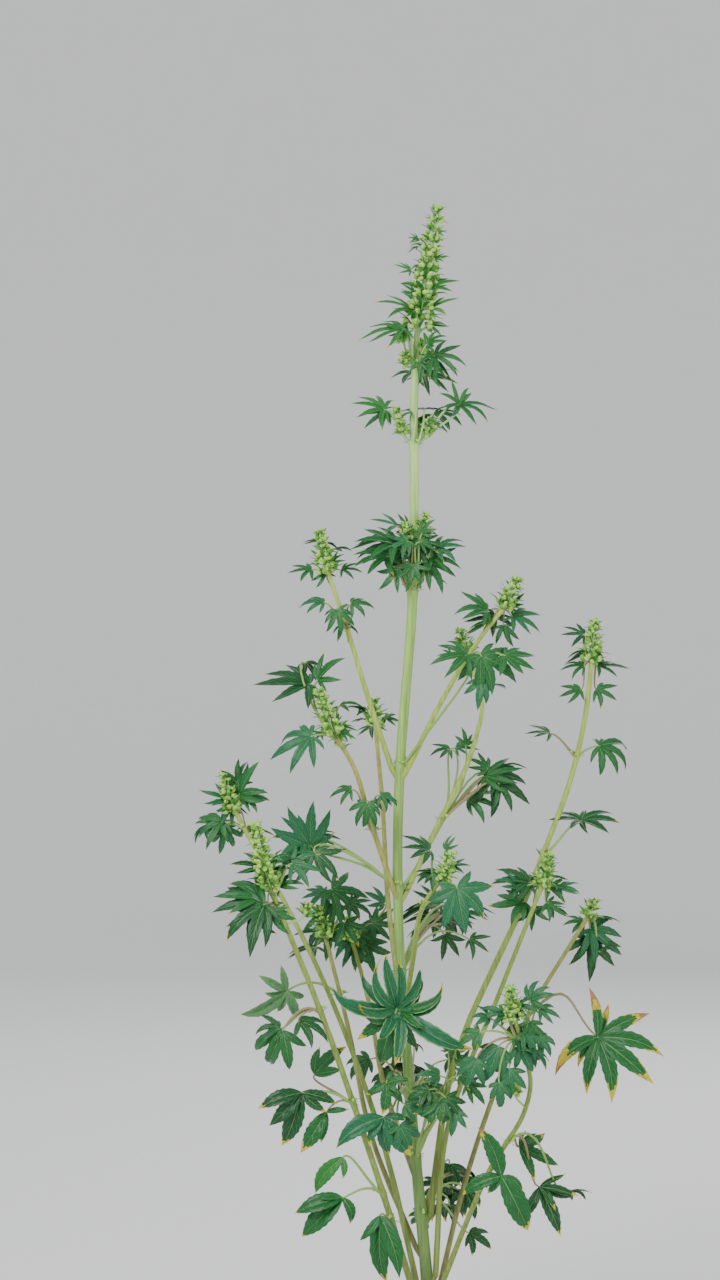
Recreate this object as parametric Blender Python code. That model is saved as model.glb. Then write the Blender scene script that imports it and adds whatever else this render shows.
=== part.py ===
"""Hemp plant in flower: main stem, side branches and masses of foliage, each its own closed solid."""
import math

import bmesh
import bpy
import numpy as np
from mathutils import Vector
from mathutils.bvhtree import BVHTree

MM = 0.001
PLANT_HEIGHT = 836.0
STEM_TOP = 826.0
GAP = 0.4
FLARE_HEIGHT = 26.0
FLARE_GROWTH = 0.75
STEM_SIDES = 12
STEM_STEP = 26.0
LIMB_SIDES = 6
LIMB_RINGS = 10
LIMB_BASE_R = 2.0
LIMB_END_R = 1.4
STRONG_LIMBS = {"front_left": 1.2, "far_left": 1.05, "tall_right": 1.2, "inner_right": 1.05}

# height above ground, centre offset to the right, diameter
STEM_PROFILE = (
    (0, 0, 10.0),
    (85, -6, 8.4),
    (180, -15, 7.4),
    (252, -21, 7.0),
    (310, -25, 6.6),
    (442, -25, 6.8),
    (532, -18, 6.5),
    (560, -16, 7.2),
    (630, -15, 6.4),
    (714, -15, 5.4),
    (756, -12, 4.0),
    (795, -6, 2.6),
    (826, 1.5, 1.2),
)

# branch: height it leaves the stem, knees (right, up), last one its end, depth of the end behind the
# stem, then the length and radius of the flower spike it carries
BRANCHES = {
    "upper_left": (442, ((-49, 497), (-64, 546), (-76, 581)), 5, 31, 7),
    "upper_right": (442, ((8, 497), (30, 533), (47, 555)), -30, 24, 8),
    "mid_left": (357, ((-46, 407), (-58, 446), (-71, 468)), -40, 36, 8),
    "mid_right": (357, ((0, 398), (28, 458), (34, 487), (23, 521)), 45, 22, 6),
    "upper_back": (279, ((-33, 347), (-37, 417), (-42, 472)), 85, 20, 6),
    "front_mid": (273, ((-16, 315), (-10, 352), (3, 373)), -85, 21, 6),
    "far_left": (77, ((-37, 181), (-78, 293), (-141, 415)), -12, 25, 8),
    "front_left": (57, ((-48, 185), (-80, 281), (-113, 366)), -95, 49, 9),
    "inner_left": (106, ((-45, 182), (-61, 254), (-78, 320)), 55, 24, 6),
    "back_left": (161, ((-36, 215), (-47, 271), (-59, 312)), 105, 21, 6),
    "tall_right": (130, ((11, 227), (69, 363), (103, 461), (111, 518)), 20, 31, 6),
    "inner_right": (88, ((8, 190), (45, 288), (74, 362)), -15, 24, 6),
    "back_right": (66, ((23, 152), (67, 258), (114, 331)), 90, 15, 6),
    "front_right": (70, ((34, 165), (62, 227), (50, 280)), -100, 25, 8),
}

# leaf tier under each flower spike: half-width, half-depth, half-height, drop below the branch end, lobes
TIERS = {
    "upper_left": (32, 27, 11, 3, 5),
    "upper_right": (35, 30, 18, 12, 6),
    "mid_left": (24, 28, 16, 8, 5),
    "mid_right": (22, 24, 12, 4, 5),
    "upper_back": (22, 26, 12, 2, 5),
    "front_mid": (26, 26, 14, -8, 5),
    "far_left": (29, 34, 33, -2, 6),
    "front_left": (30, 34, 24, 16, 6),
    "inner_left": (30, 32, 20, 2, 6),
    "back_left": (28, 28, 20, 6, 5),
    "tall_right": (27, 28, 18, 12, 6),
    "inner_right": (33, 32, 24, 4, 6),
    "back_right": (28, 30, 26, 14, 6),
    "front_right": (28, 30, 36, 28, 6),
}

# mass of foliage: centre (right, back, up), half-sizes (right, back, up), tilt of its face towards the
# front in degrees, lobes
MASSES = {
    "leaves_top": ((-16, 0, 727), (39, 34, 22), 10, 7),
    "leaves_neck": ((-10, 0, 692), (58, 24, 18), 20, 6),
    "leaves_crown": ((-21, 0, 594), (41, 38, 27), 10, 8),
    "leaves_upper_left_low": ((-69, -4, 549), (24, 18, 17), 40, 5),
    "leaves_upper_right_low": ((36, -38, 506), (39, 20, 23), 60, 7),
    "leaves_mid_left_high": ((-98, -10, 503), (35, 20, 22), 40, 6),
    "leaves_mid_left_outer": ((-101, -46, 461), (20, 18, 18), 55, 5),
    "leaves_mid_left_low": ((-47, -30, 414), (22, 20, 19), 50, 6),
    "leaves_mid_right_low": ((40, 42, 431), (36, 24, 27), 40, 7),
    "leaves_left_fan": ((-91, 8, 390), (33, 26, 31), 55, 8),
    "leaves_front_fan": ((22, -88, 350), (25, 18, 27), 80, 6),
    "leaves_far_left_low": ((-153, 2, 399), (20, 22, 20), 50, 5),
    "leaves_front_left_side": ((-130, -100, 346), (29, 20, 22), 50, 6),
    "leaves_front_left_low": ((-103, -72, 257), (30, 22, 23), 55, 6),
    "leaves_inner_left_side": ((-116, 30, 280), (24, 22, 19), 45, 5),
    "leaves_tall_right_left": ((73, 20, 465), (15, 14, 8), 30, 4),
    "leaves_tall_right_side": ((127, 20, 454), (21, 18, 14), 45, 5),
    "leaves_tall_right_low": ((107, 22, 404), (28, 18, 11), 30, 5),
    "leaves_scorched": ((115, -20, 248), (43, 26, 38), 75, 8),
    "leaves_front_curled": ((-25, -48, 275), (53, 24, 37), 70, 9),
    "leaves_front_low": ((-39, -42, 198), (30, 22, 33), 70, 7),
    "leaves_front_spray": ((4, -55, 212), (16, 18, 27), 40, 6),
    "leaves_left_low": ((-96, -44, 206), (33, 22, 32), 65, 7),
    "leaves_left_base": ((-75, -34, 142), (28, 24, 24), 45, 6),
    "leaves_centre_base": ((-39, -34, 114), (16, 18, 29), 60, 5),
    "leaves_right_base": ((47, -60, 156), (29, 20, 37), 75, 6),
    "leaves_right_low": ((83, -22, 150), (25, 26, 28), 60, 6),
    "leaves_back_high": ((10, 74, 335), (38, 34, 30), -50, 7),
    "leaves_back_mid": ((-12, 60, 222), (40, 26, 34), -60, 8),
    "leaves_back_low": ((14, 52, 140), (34, 24, 30), -60, 7),
}

SPIKE_TOP = ("flower_spike_top", 756.0, PLANT_HEIGHT, 11.0)
SPIKE_TOP_LOBES = 6
SPIKE_UPTURN = 0.6

# rings of each kind of mass, from below: height, size and how deep the notches between lobes are cut
LEAF_RINGS = ((-0.42, 0.42, 0.25), (-0.08, 1.0, 0.42), (0.16, 0.82, 0.38), (0.42, 0.34, 0.15))
TIER_RINGS = ((-1.0, 0.40, 0.2), (-0.35, 1.0, 0.42), (0.2, 0.80, 0.40), (0.75, 0.34, 0.1))
SPIKE_RINGS = ((0.18, 1.05, 0.12), (0.55, 0.95, 0.12), (0.85, 0.55, 0.12))
SPIKE_TOP_RINGS = (
    (0.0, 0.55, 0.3),
    (0.14, 1.35, 0.3),
    (0.34, 1.0, 0.3),
    (0.56, 1.2, 0.3),
    (0.76, 0.8, 0.3),
    (0.9, 0.45, 0.3),
)
POLE_DEPTH = 0.16
LOBE_REACH = (0.78, 1.0)
NOTCH_REACH = (0.85, 1.0)
LOBE_DROOP = 0.175
# ring heights of a spike start here, which tells them from those of the leaf tier under it
SPIKE_MARK = 10.0

# room round each limb, in the foliage it runs through
CLEAR_FROM = 20.0
CLEAR_PAST_END = 0.02

HEAD_SEED = 40
LEAF_SEED = 80
SPIKE_TOP_SEED = 3

# colour and roughness of each kind of sub-part
FINISHES = {
    "stem": ((0.36, 0.47, 0.22), 0.5),
    "limb": ((0.34, 0.42, 0.17), 0.55),
    "leaves": ((0.035, 0.13, 0.05), 0.6),
    "flowers": ((0.30, 0.44, 0.14), 0.6),
}


def stem_centre(height):
    heights = [row[0] for row in STEM_PROFILE]
    offsets = [row[1] for row in STEM_PROFILE]
    return np.array([np.interp(height, heights, offsets), 0.0, height])


def stem_radius(height):
    heights = [row[0] for row in STEM_PROFILE]
    widths = [row[2] for row in STEM_PROFILE]
    flare = 1.0 + FLARE_GROWTH * max(0.0, 1.0 - height / FLARE_HEIGHT) ** 2
    return 0.5 * np.interp(height, heights, widths) * flare


def spline(knots, count):
    """Smooth line through the knots, evenly stepped between them by chord length."""
    knots = np.asarray(knots, float)
    along = np.concatenate([[0.0], np.cumsum(np.linalg.norm(np.diff(knots, axis=0), axis=1))])
    slopes = np.gradient(knots, along, axis=0)
    points = []
    for s in np.linspace(0.0, along[-1], count):
        i = min(int(np.searchsorted(along, s, side="right")) - 1, len(knots) - 2)
        step = along[i + 1] - along[i]
        t = (s - along[i]) / step
        points.append(
            (2 * t**3 - 3 * t**2 + 1) * knots[i]
            + (t**3 - 2 * t**2 + t) * step * slopes[i]
            + (3 * t**2 - 2 * t**3) * knots[i + 1]
            + (t**3 - t**2) * step * slopes[i + 1]
        )
    return np.array(points)


def limb_width(name, t):
    return (LIMB_BASE_R + (LIMB_END_R - LIMB_BASE_R) * t) * STRONG_LIMBS.get(name, 1.0)


def limb_line(name, count):
    """Centre line of a branch from just outside the stem to its end."""
    height, knees, depth, _, _ = BRANCHES[name]
    span = knees[-1][1] - height
    knots = [np.array([x, depth * (z - height) / span, z], float) for x, z in knees]
    foot = stem_centre(height)
    out = knots[0] - foot
    out[2] = 0.0
    out /= np.linalg.norm(out)
    start = foot + out * (stem_radius(height) + limb_width(name, 0.0) + GAP)
    return spline([start] + knots, count)


def frames(line):
    """Direction and two across vectors at each point of a line."""
    ways = np.gradient(line, axis=0)
    ways /= np.linalg.norm(ways, axis=1)[:, None]
    across = np.cross(ways, [0.0, 1.0, 0.0])
    across /= np.linalg.norm(across, axis=1)[:, None]
    return ways, across, np.cross(across, ways)


def mesh_object(name, vertices, faces):
    mesh = bpy.data.meshes.new(name)
    mesh.from_pydata([tuple(v * MM) for v in vertices], [], faces)
    work = bmesh.new()
    work.from_mesh(mesh)
    bmesh.ops.triangulate(work, faces=work.faces[:])
    bmesh.ops.recalc_face_normals(work, faces=work.faces[:])
    work.to_mesh(mesh)
    work.free()
    obj = bpy.data.objects.new(name, mesh)
    bpy.context.scene.collection.objects.link(obj)
    return obj


def ring_faces(rings, sides):
    faces = []
    for i in range(rings - 1):
        for k in range(sides):
            a = i * sides + k
            b = i * sides + (k + 1) % sides
            faces.append((a, b, b + sides, a + sides))
    return faces


def tube(name, line, radii, sides):
    """Closed tapering tube along a line, flat at both ends."""
    _, across, up = frames(line)
    angles = np.arange(sides) * 2 * math.pi / sides
    rings = [
        p + r * (math.cos(a) * u + math.sin(a) * v)
        for p, r, u, v in zip(line, radii, across, up)
        for a in angles
    ]
    faces = ring_faces(len(line), sides)
    last = (len(line) - 1) * sides
    faces.append(tuple(range(sides - 1, -1, -1)))
    faces.append(tuple(range(last, last + sides)))
    return mesh_object(name, rings, faces)


def stem_tube(name, grow, low, high):
    """The main stem, level rings from low to high, widened by grow all round."""
    knots = {low, high}
    knots |= {h for h in np.arange(0.0, STEM_TOP, STEM_STEP) if low < h < high}
    knots |= {h for h in (FLARE_HEIGHT * 0.25, FLARE_HEIGHT * 0.5) if low < h < high}
    heights = sorted(knots)
    angles = np.arange(STEM_SIDES) * 2 * math.pi / STEM_SIDES
    rings = []
    for h in heights:
        centre = stem_centre(h)
        r = stem_radius(h) + grow
        rings += [centre + r * np.array([math.cos(a), math.sin(a), 0.0]) for a in angles]
    faces = ring_faces(len(heights), STEM_SIDES)
    last = (len(heights) - 1) * STEM_SIDES
    faces.append(tuple(range(STEM_SIDES - 1, -1, -1)))
    faces.append(tuple(range(last, last + STEM_SIDES)))
    return mesh_object(name, rings, faces)


def lobed(name, profile, lobes, seed, place, half=None):
    """Closed uneven solid of rings: profile rows give height, size and how deep the lobes are cut."""
    rng = np.random.default_rng(seed)
    sides = 2 * lobes
    phase = rng.uniform(0, math.pi)
    reach = rng.uniform(*LOBE_REACH, lobes)
    local = []
    for height, size, cut in profile:
        for k in range(sides):
            tip = k % 2 == 0
            r = size * (reach[k // 2] if tip else (1.0 - cut) * rng.uniform(*NOTCH_REACH))
            droop = LOBE_DROOP * size * cut if tip else 0.0
            a = phase + k * 2 * math.pi / sides
            local.append((r * math.cos(a), r * math.sin(a), height - droop))
    rings = len(profile)
    local.append((0.0, 0.0, profile[0][0] - POLE_DEPTH))
    local.append((0.0, 0.0, profile[-1][0] + POLE_DEPTH))
    faces = ring_faces(rings, sides)
    bottom, top = rings * sides, rings * sides + 1
    last = (rings - 1) * sides
    for k in range(sides):
        faces.append((bottom, (k + 1) % sides, k))
        faces.append((top, last + k, last + (k + 1) % sides))
    points = place(np.array(local))
    if half is not None:
        centre, sizes = half
        low, high = points.min(axis=0), points.max(axis=0)
        points = (points - 0.5 * (low + high)) * (2 * np.array(sizes) / (high - low)) + centre
    return mesh_object(name, points, faces)


def leaf_mass(name, seed):
    centre, sizes, tilt, lobes = MASSES[name]
    lean = math.radians(tilt)

    def place(points):
        x, y, z = points.T
        y, z = y * math.cos(lean) - z * math.sin(lean), y * math.sin(lean) + z * math.cos(lean)
        return np.stack([x, y, z], axis=1)

    return lobed(name, LEAF_RINGS, lobes, seed, place, (np.array(centre, float), sizes))


def head_mass(name, limb, seed):
    """Leaf tier with the flower spike standing out of it at the end of a branch."""
    _, _, _, spike, radius = BRANCHES[limb]
    wide, deep, tall, drop, lobes = TIERS[limb]
    line = limb_line(limb, LIMB_RINGS)
    end = line[-1]
    way = line[-1] - line[-2]
    way = way / np.linalg.norm(way) + np.array([0.0, 0.0, SPIKE_UPTURN])
    way /= np.linalg.norm(way)
    tier = end - np.array([0.0, 0.0, drop])
    size = radius / wide
    rings = list(TIER_RINGS)
    rings += [(SPIKE_MARK + height, size * share, cut) for height, share, cut in SPIKE_RINGS]

    def place(points):
        out = []
        for x, y, z in points:
            if z > SPIKE_MARK / 2:
                base = end + way * spike * min(z - SPIKE_MARK, 1.0)
                out.append(base + np.array([x * wide, y * wide, 0.0]))
            else:
                out.append(tier + np.array([x * wide, y * deep, z * tall]))
        return np.array(out)

    return lobed(name, rings, lobes, seed, place)


def top_spike(name, low, high, radius):
    """Flower spike round the top of the main stem, up to the plant's tip."""

    def place(points):
        out = []
        for x, y, z in points:
            h = low + (high - low) * max(0.0, z)
            out.append(stem_centre(min(h, STEM_TOP)) * [1, 1, 0] + np.array([x * radius, y * radius, h]))
        out[-1][2] = high
        return np.array(out)

    return lobed(name, SPIKE_TOP_RINGS, SPIKE_TOP_LOBES, SPIKE_TOP_SEED, place)


def tree_of(obj):
    work = bmesh.new()
    work.from_mesh(obj.data)
    tree = BVHTree.FromBMesh(work)
    work.free()
    return tree


def corners(obj):
    return np.array([v.co[:] for v in obj.data.vertices])


def keep_largest(work):
    """Leaves only the body with the largest box."""
    left = set(work.verts)
    groups = []
    while left:
        seen = {left.pop()}
        edge = list(seen)
        while edge:
            for link in edge.pop().link_edges:
                for vert in link.verts:
                    if vert in left:
                        left.discard(vert)
                        seen.add(vert)
                        edge.append(vert)
        groups.append(seen)

    def spread(group):
        points = np.array([v.co[:] for v in group])
        return float(np.prod(points.max(axis=0) - points.min(axis=0)))

    groups.sort(key=spread, reverse=True)
    for group in groups[1:]:
        bmesh.ops.delete(work, geom=list(group), context="VERTS")


def cut_by_plane(obj, point, normal):
    """Removes what lies beyond a plane and closes the cut."""
    work = bmesh.new()
    work.from_mesh(obj.data)
    geometry = work.verts[:] + work.edges[:] + work.faces[:]
    bmesh.ops.bisect_plane(
        work, geom=geometry, dist=1e-7, plane_co=point, plane_no=normal, clear_outer=True
    )
    bmesh.ops.holes_fill(work, edges=[e for e in work.edges if e.is_boundary], sides=0)
    keep_largest(work)
    bmesh.ops.triangulate(work, faces=work.faces[:])
    bmesh.ops.recalc_face_normals(work, faces=work.faces[:])
    work.to_mesh(obj.data)
    work.free()


def part_company(a, b):
    """Cuts two masses that meet by one plane between them, with a gap."""
    pa, pb = corners(a), corners(b)
    way = pb.mean(axis=0) - pa.mean(axis=0)
    way /= np.linalg.norm(way)
    middle = 0.5 * ((pa @ way).max() + (pb @ way).min())
    point = way * middle
    shift = way * 0.5 * GAP * MM
    cut_by_plane(a, Vector(point - shift), Vector(way))
    cut_by_plane(b, Vector(point + shift), Vector(-way))


def cut_round(obj, cutter):
    """Cuts a mass clear of a limb and bakes the result."""
    modifier = obj.modifiers.new("clear_of_limb", "BOOLEAN")
    modifier.operation = "DIFFERENCE"
    modifier.solver = "EXACT"
    modifier.object = cutter
    graph = bpy.context.evaluated_depsgraph_get()
    mesh = bpy.data.meshes.new_from_object(obj.evaluated_get(graph))
    obj.modifiers.clear()
    work = bmesh.new()
    work.from_mesh(mesh)
    keep_largest(work)
    bmesh.ops.triangulate(work, faces=work.faces[:])
    work.to_mesh(mesh)
    work.free()
    obj.data = mesh


def material(name, finish):
    colour, roughness = FINISHES[finish]
    made = bpy.data.materials.new(name)
    made.use_nodes = True
    shader = made.node_tree.nodes["Principled BSDF"]
    shader.inputs["Base Color"].default_value = (*colour, 1.0)
    shader.inputs["Roughness"].default_value = roughness
    shader.inputs["Metallic"].default_value = 0.0
    return made


def main():
    for obj in list(bpy.data.objects):
        bpy.data.objects.remove(obj)

    stem = stem_tube("main_stem", 0.0, 0.0, STEM_TOP)
    stem.data.materials.append(material("main_stem", "stem"))
    cutters = [stem_tube("clear_main_stem", GAP, CLEAR_FROM, STEM_TOP + GAP)]

    for name in BRANCHES:
        line = limb_line(name, LIMB_RINGS)
        radii = [limb_width(name, t) for t in np.linspace(0, 1, LIMB_RINGS)]
        limb = tube("branch_" + name, line, radii, LIMB_SIDES)
        limb.data.materials.append(material("branch_" + name, "limb"))
        longer = np.vstack([line, line[-1] + (line[-1] - line[-2]) * CLEAR_PAST_END])
        wider = [r / math.cos(math.pi / LIMB_SIDES) + GAP for r in radii]
        cutters.append(tube("clear_" + name, longer, wider + wider[-1:], LIMB_SIDES))
    for cutter in cutters:
        cutter.hide_render = True
        cutter.display_type = "WIRE"

    masses = [top_spike(*SPIKE_TOP)]
    masses += [head_mass("head_" + n, n, HEAD_SEED + i) for i, n in enumerate(BRANCHES)]
    masses += [leaf_mass(n, LEAF_SEED + i) for i, n in enumerate(MASSES)]
    for i, first in enumerate(masses):
        for second in masses[i + 1 :]:
            if tree_of(first).overlap(tree_of(second)):
                part_company(first, second)
    for mass in masses:
        for cutter in cutters:
            if tree_of(mass).overlap(tree_of(cutter)):
                cut_round(mass, cutter)
        flowering = mass.name.startswith(("head_", "flower_"))
        mass.data.materials.clear()
        mass.data.materials.append(material(mass.name, "flowers" if flowering else "leaves"))
    for obj in bpy.data.objects:
        for face in obj.data.polygons:
            face.use_smooth = obj.name.startswith(("main_", "branch_"))


main()
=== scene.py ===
"""Looks of the hemp plant: ribbed stems, leaf stalks, webbed leaves and buds around the CAD frame."""

import math
from collections import namedtuple

import bpy
import numpy as np
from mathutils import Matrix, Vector


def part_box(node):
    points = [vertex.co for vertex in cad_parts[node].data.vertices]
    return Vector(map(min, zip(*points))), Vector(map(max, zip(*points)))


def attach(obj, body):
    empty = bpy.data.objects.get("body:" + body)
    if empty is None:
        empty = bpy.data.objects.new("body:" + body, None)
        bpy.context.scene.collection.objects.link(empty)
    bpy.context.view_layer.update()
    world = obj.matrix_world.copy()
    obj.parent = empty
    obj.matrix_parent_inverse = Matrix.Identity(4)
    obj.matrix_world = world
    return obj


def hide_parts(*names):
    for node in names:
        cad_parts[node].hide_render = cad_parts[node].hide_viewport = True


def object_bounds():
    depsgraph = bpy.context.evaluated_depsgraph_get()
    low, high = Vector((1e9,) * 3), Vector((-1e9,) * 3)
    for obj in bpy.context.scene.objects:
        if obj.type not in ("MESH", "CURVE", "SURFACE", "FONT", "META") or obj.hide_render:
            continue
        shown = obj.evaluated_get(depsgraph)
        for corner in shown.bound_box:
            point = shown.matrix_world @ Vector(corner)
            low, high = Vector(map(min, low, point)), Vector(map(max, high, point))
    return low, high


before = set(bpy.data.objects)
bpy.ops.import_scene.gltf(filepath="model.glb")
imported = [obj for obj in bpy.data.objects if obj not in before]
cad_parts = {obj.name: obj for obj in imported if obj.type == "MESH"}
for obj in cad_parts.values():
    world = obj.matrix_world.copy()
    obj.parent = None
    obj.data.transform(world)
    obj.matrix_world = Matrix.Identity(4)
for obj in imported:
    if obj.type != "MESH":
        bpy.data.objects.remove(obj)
CAD_BOX = [list(corner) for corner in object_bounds()]

MM = 0.001
UP = np.array([0.0, 0.0, 1.0])
FRONT = np.array([0.0, -1.0, 0.0])
GOLDEN = math.radians(137.5)
PLANT_TOP = CAD_BOX[1][2] / MM

# ---- camera
CAMERA_RIGHT = -53.0
CAMERA_HEIGHT = 532.0
CAMERA_DISTANCE = 2116.0
LENS = 85.0

# ---- colours
COLOURS = {
    "leaf_deep": (0.004, 0.062, 0.014),
    "leaf_mid": (0.006, 0.108, 0.020),
    "leaf_bright": (0.020, 0.175, 0.024),
    # the next colour is leaf green with the bluish sheen of the leaves' faces painted into it
    "leaf_teal_painted_sheen": (0.008, 0.122, 0.048),
    "leaf_pale": (0.100, 0.240, 0.095),
    "leaf_rim": (0.190, 0.340, 0.120),
    "leaf_young": (0.085, 0.310, 0.055),
    "tip_yellow": (0.560, 0.430, 0.035),
    "tip_brown": (0.330, 0.170, 0.060),
    "midrib": (0.190, 0.370, 0.120),
    "side_vein": (0.055, 0.215, 0.060),
    "stalk": (0.260, 0.420, 0.100),
    "stalk_pale": (0.380, 0.600, 0.220),
    "stalk_tan": (0.290, 0.240, 0.115),
    "bud_pale": (0.400, 0.640, 0.130),
    "bud_green": (0.190, 0.450, 0.065),
    "bract": (0.045, 0.235, 0.038),
}

# leaf colours that one spray draws from; the teal ones carry a painted sheen
TONES = {
    "deep": ("leaf_deep", "leaf_deep", "leaf_mid"),
    "mid": ("leaf_mid", "leaf_mid", "leaf_deep", "leaf_teal_painted_sheen"),
    "bright": ("leaf_bright", "leaf_bright", "leaf_mid"),
    "teal_painted_sheen": ("leaf_teal_painted_sheen", "leaf_teal_painted_sheen", "leaf_teal_painted_sheen", "leaf_mid"),
    "pale": ("leaf_pale",),
    "young": ("leaf_young", "leaf_bright", "leaf_bright"),
}

# How a kind of leaf holds each lobe. In degrees: its lift out of the leaf's plane, how far it bows over,
# how far its tip hooks back up, and how far it swings sideways towards the sky. Below nought, the last two
# go downwards. Then how steeply it folds up along its midrib, and its width against a plain lobe's.
Habit = namedtuple("Habit", "lift bow hook swing fold width")
HABITS = {
    "arched": Habit(14, 50, 14, 4, 0.34, 1.00),
    "hanging": Habit(4, 66, -8, -6, 0.38, 1.08),
    "curled": Habit(20, 30, 80, 38, 0.50, 0.90),
    "broad": Habit(6, 46, 6, -4, 0.30, 1.26),
    "drooping": Habit(14, 50, 34, -12, 0.44, 0.88),
    "flat": Habit(8, 30, 10, 0, 0.26, 1.00),
}

# a leaf whose tips hook further than this shows pale rolled rims
ROLLED_HOOK = 45

FRESH, WORN, SCORCHED = range(3)

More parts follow.
